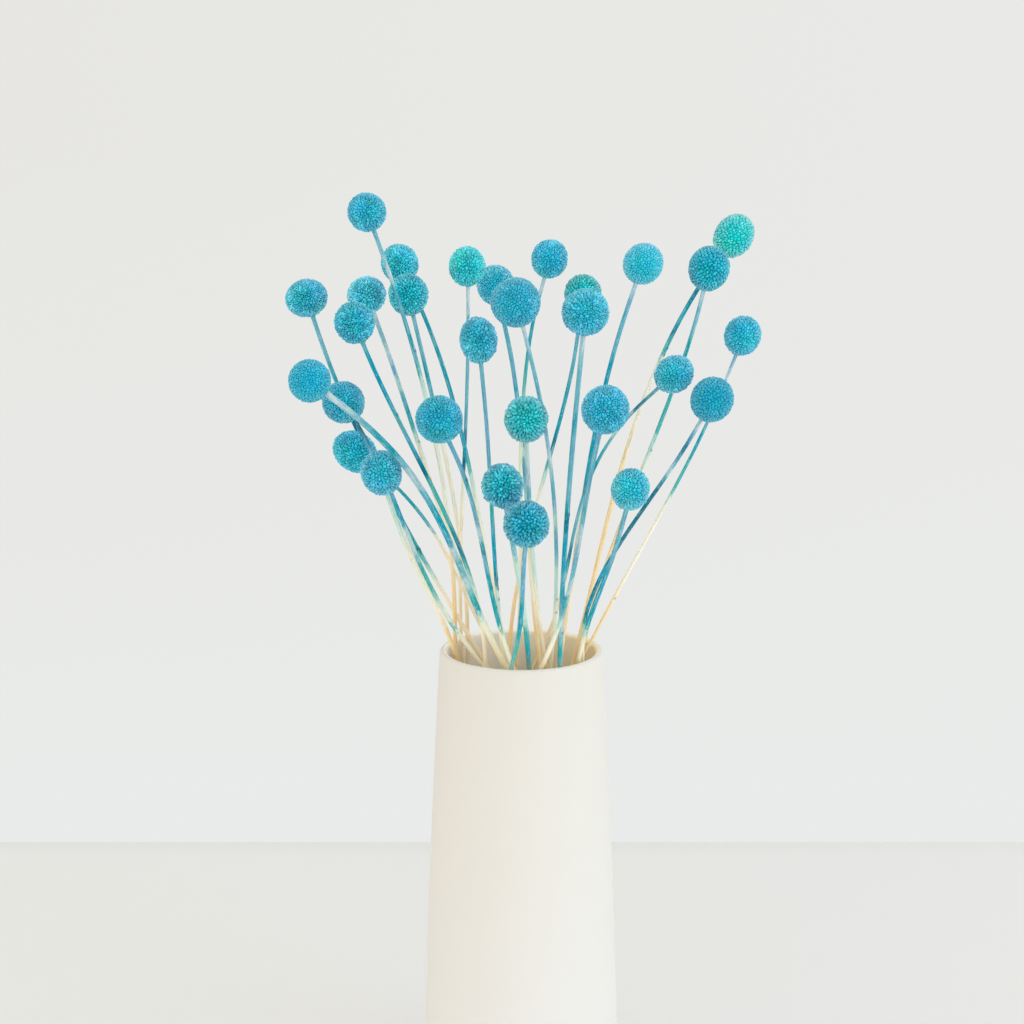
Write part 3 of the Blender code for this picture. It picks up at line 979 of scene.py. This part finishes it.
def vase_material():
    """Unglazed off-white ceramic with faint turning lines and grit. Painted light: paler and
    cooler low down, and lighter and warmer inside, golden towards the right.
    """
    recipe = Recipe("matte_ceramic")
    place = recipe.place()
    cloud = recipe.noise(place, scale=9, detail=3)
    colour = recipe.mix(recipe.spread(cloud, *CLAY_CLOUD), GLAZE_WARM, GLAZE_PALE)
    # Painted bounce light: paler and cooler towards the bottom.
    low = recipe.spread(recipe.axis(place, "Z"), *LOW_BOUNCE_HEIGHTS)
    colour = recipe.mix(low, colour, CLAY_LOW_BOUNCE)

    # Painted bounce light: golden patches on the lining, gathering towards the right.
    painted_bounce = recipe.stretched_noise(place, LINING_BOUNCE_SCALE, detail=3)
    side = recipe.spread(recipe.axis(place, "X"), *LINING_BOUNCE_SIDES)
    painted_bounce = recipe.spread(recipe.math("ADD", painted_bounce, side), *LINING_BOUNCE_SPREAD)
    lining = recipe.mix(painted_bounce, LINING_PALE, LINING_GOLDEN_BOUNCE)
    colour = recipe.mix(recipe.attribute("inside"), colour, lining)

    grit = recipe.noise(place, scale=1500, detail=3, roughness=0.6)
    colour = recipe.mix(recipe.spread(grit, *GRIT_SPOTS), colour, GRIT)
    bands = recipe.stretched_noise(place, TURNING_SCALE, detail=3)
    height = recipe.math("ADD", recipe.times(bands, TURNING_HEIGHT), grit)
    recipe.bump(height, distance=0.0002, strength=0.3)
    return recipe.finish(colour, Roughness=0.75, Specular_IOR_Level=0.2)


# ---- Stage, light and camera -------------------------------------------------


def shown(recipe, colour, share):
    """A shader for a stage surface that shows a share of its colour whatever lights it."""
    rays = recipe.add("LightPath", {}).node.outputs
    seen = recipe.math("MAXIMUM", rays["Is Camera Ray"], rays["Is Glossy Ray"])
    seen = recipe.math("MAXIMUM", seen, rays["Is Transmission Ray"])
    lit = recipe.shader.outputs[0]
    glow = recipe.add("Emission", {"Color": colour})
    return recipe.add("MixShader", {0: recipe.times(seen, share), 1: lit, 2: glow})


def wall_material():
    """The wall shows its colour from the front, with painted light warmer on the left, cooler on
    the right and lighter low down, and nothing from behind.
    """
    recipe = Recipe("wall")
    place = recipe.place()
    # Painted light: the wall warmer on the left, cooler on the right and lighter low down.
    colour = recipe.mix(recipe.spread(recipe.axis(place, "X"), *WALL_SIDES), WALL_LEFT, WALL_RIGHT)
    colour = recipe.mix(recipe.spread(recipe.axis(place, "Z"), *WALL_HEIGHTS), colour, WALL_LOW)
    recipe.finish(colour, Roughness=STAGE_ROUGHNESS)
    front = shown(recipe, colour, 1.0)
    behind = recipe.add("NewGeometry", {}, output="Backfacing")
    clear = recipe.add("BsdfTransparent", {})
    recipe.surface(recipe.add("MixShader", {0: behind, 1: front, 2: clear}))
    return recipe.material


def table_material():
    """The table shows part of its colour by itself, and keeps the object's shadow."""
    recipe = Recipe("table")
    place = recipe.place()
    # Painted light: the table warmer on the left and cooler on the right.
    side = recipe.spread(recipe.axis(place, "X"), *TABLE_SIDES)
    # Painted shadow along the corner where the table meets the wall.
    corner_shadow = recipe.spread(recipe.axis(place, "Y"), WALL_DISTANCE - CORNER_SHADOW_WIDTH, WALL_DISTANCE)
    colour = recipe.mix(corner_shadow, recipe.mix(side, TABLE_LEFT, TABLE_RIGHT), TABLE_CORNER_SHADOW)
    recipe.finish((*TABLE_BOUNCE, 1), Roughness=STAGE_ROUGHNESS)
    recipe.surface(shown(recipe, colour, TABLE_GLOW))
    return recipe.material


def stage_plane(name, corners, material):
    """A flat piece of the stage."""
    mesh = bpy.data.meshes.new(name)
    mesh.from_pydata(corners, [], [range(4)])
    mesh.materials.append(material)
    in_scene(name, mesh)


def make_stage():
    reach, back = STAGE_REACH, WALL_DISTANCE
    left, right = (-reach, back, 0), (reach, back, 0)
    table = [(-reach, -reach, 0), (reach, -reach, 0), right, left]
    wall = [left, right, (reach, back, reach), (-reach, back, reach)]
    stage_plane("table", table, table_material())
    stage_plane("wall", wall, wall_material())


def make_sky():
    """Soft light from all round, with the wall's colour where the camera sees past it."""
    world = bpy.data.worlds.new("studio")
    bpy.context.scene.world = world
    world.use_nodes = True
    nodes = Nodes(world.node_tree)
    sky = world.node_tree.nodes["Background"]
    way = nodes.add("TexCoord", {}, output="Generated")
    colour = nodes.mix(nodes.spread(nodes.axis(way, "X"), -1.0, 1.0), SKY_LEFT, SKY_RIGHT)
    nodes.feed(sky.inputs["Color"], colour)
    level = nodes.spread(nodes.axis(way, "Z"), 0.0, 1.0, SKY_LEVEL, SKY_TOP)
    nodes.feed(sky.inputs["Strength"], level)
    plain = nodes.add("Background", {"Color": (*WALL_RIGHT, 1)})
    seen = nodes.add("LightPath", {}, output="Is Camera Ray")
    nodes.surface(nodes.add("MixShader", {0: seen, 1: sky.outputs[0], 2: plain}))


def make_window():
    light = bpy.data.lights.new("window", "AREA")
    light.size = WINDOW_SIZE
    light.energy = WINDOW_POWER
    light.color = WINDOW_LIGHT
    lamp = in_scene("window", light)
    lamp.location = WINDOW_PLACE
    aim = Vector(WINDOW_AIM) - Vector(WINDOW_PLACE)
    lamp.rotation_euler = aim.to_track_quat("-Z", "Y").to_euler()


def make_camera():
    lens = bpy.data.cameras.new("camera")
    lens.sensor_width = SENSOR_WIDTH
    lens.lens = CAMERA_LENS
    camera = in_scene("camera", lens)
    camera.location = CAMERA_PLACE
    camera.rotation_euler = (math.pi / 2 - CAMERA_PITCH, 0, 0)
    bpy.context.scene.camera = camera


# ---- The scene ---------------------------------------------------------------


def stand_for(piece, node):
    """Puts a finished piece in a CAD node's place."""
    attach(piece, "root")
    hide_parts(node)


def make_flowers():
    for number, look in enumerate(LOOKS, 1):
        chance = np.random.default_rng(SEED + number)
        route, radius = stem_route(f"stem_{number:02d}")
        head = make_head(number, look, route[-1], chance)
        stand_for(head, f"head_{number:02d}")
        stem = make_stem(number, route, radius, chance)
        stand_for(stem, f"stem_{number:02d}")


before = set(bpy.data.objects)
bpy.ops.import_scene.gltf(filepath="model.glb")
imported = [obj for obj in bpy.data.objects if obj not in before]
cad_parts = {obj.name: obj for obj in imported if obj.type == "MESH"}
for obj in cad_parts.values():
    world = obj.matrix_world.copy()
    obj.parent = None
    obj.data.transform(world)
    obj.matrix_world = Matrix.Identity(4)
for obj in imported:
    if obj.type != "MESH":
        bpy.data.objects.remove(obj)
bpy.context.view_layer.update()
bpy.context.scene.view_settings.view_transform = "Standard"
make_camera()
make_stage()
make_sky()
make_window()
stand_for(make_vase(), "vase")
make_flowers()
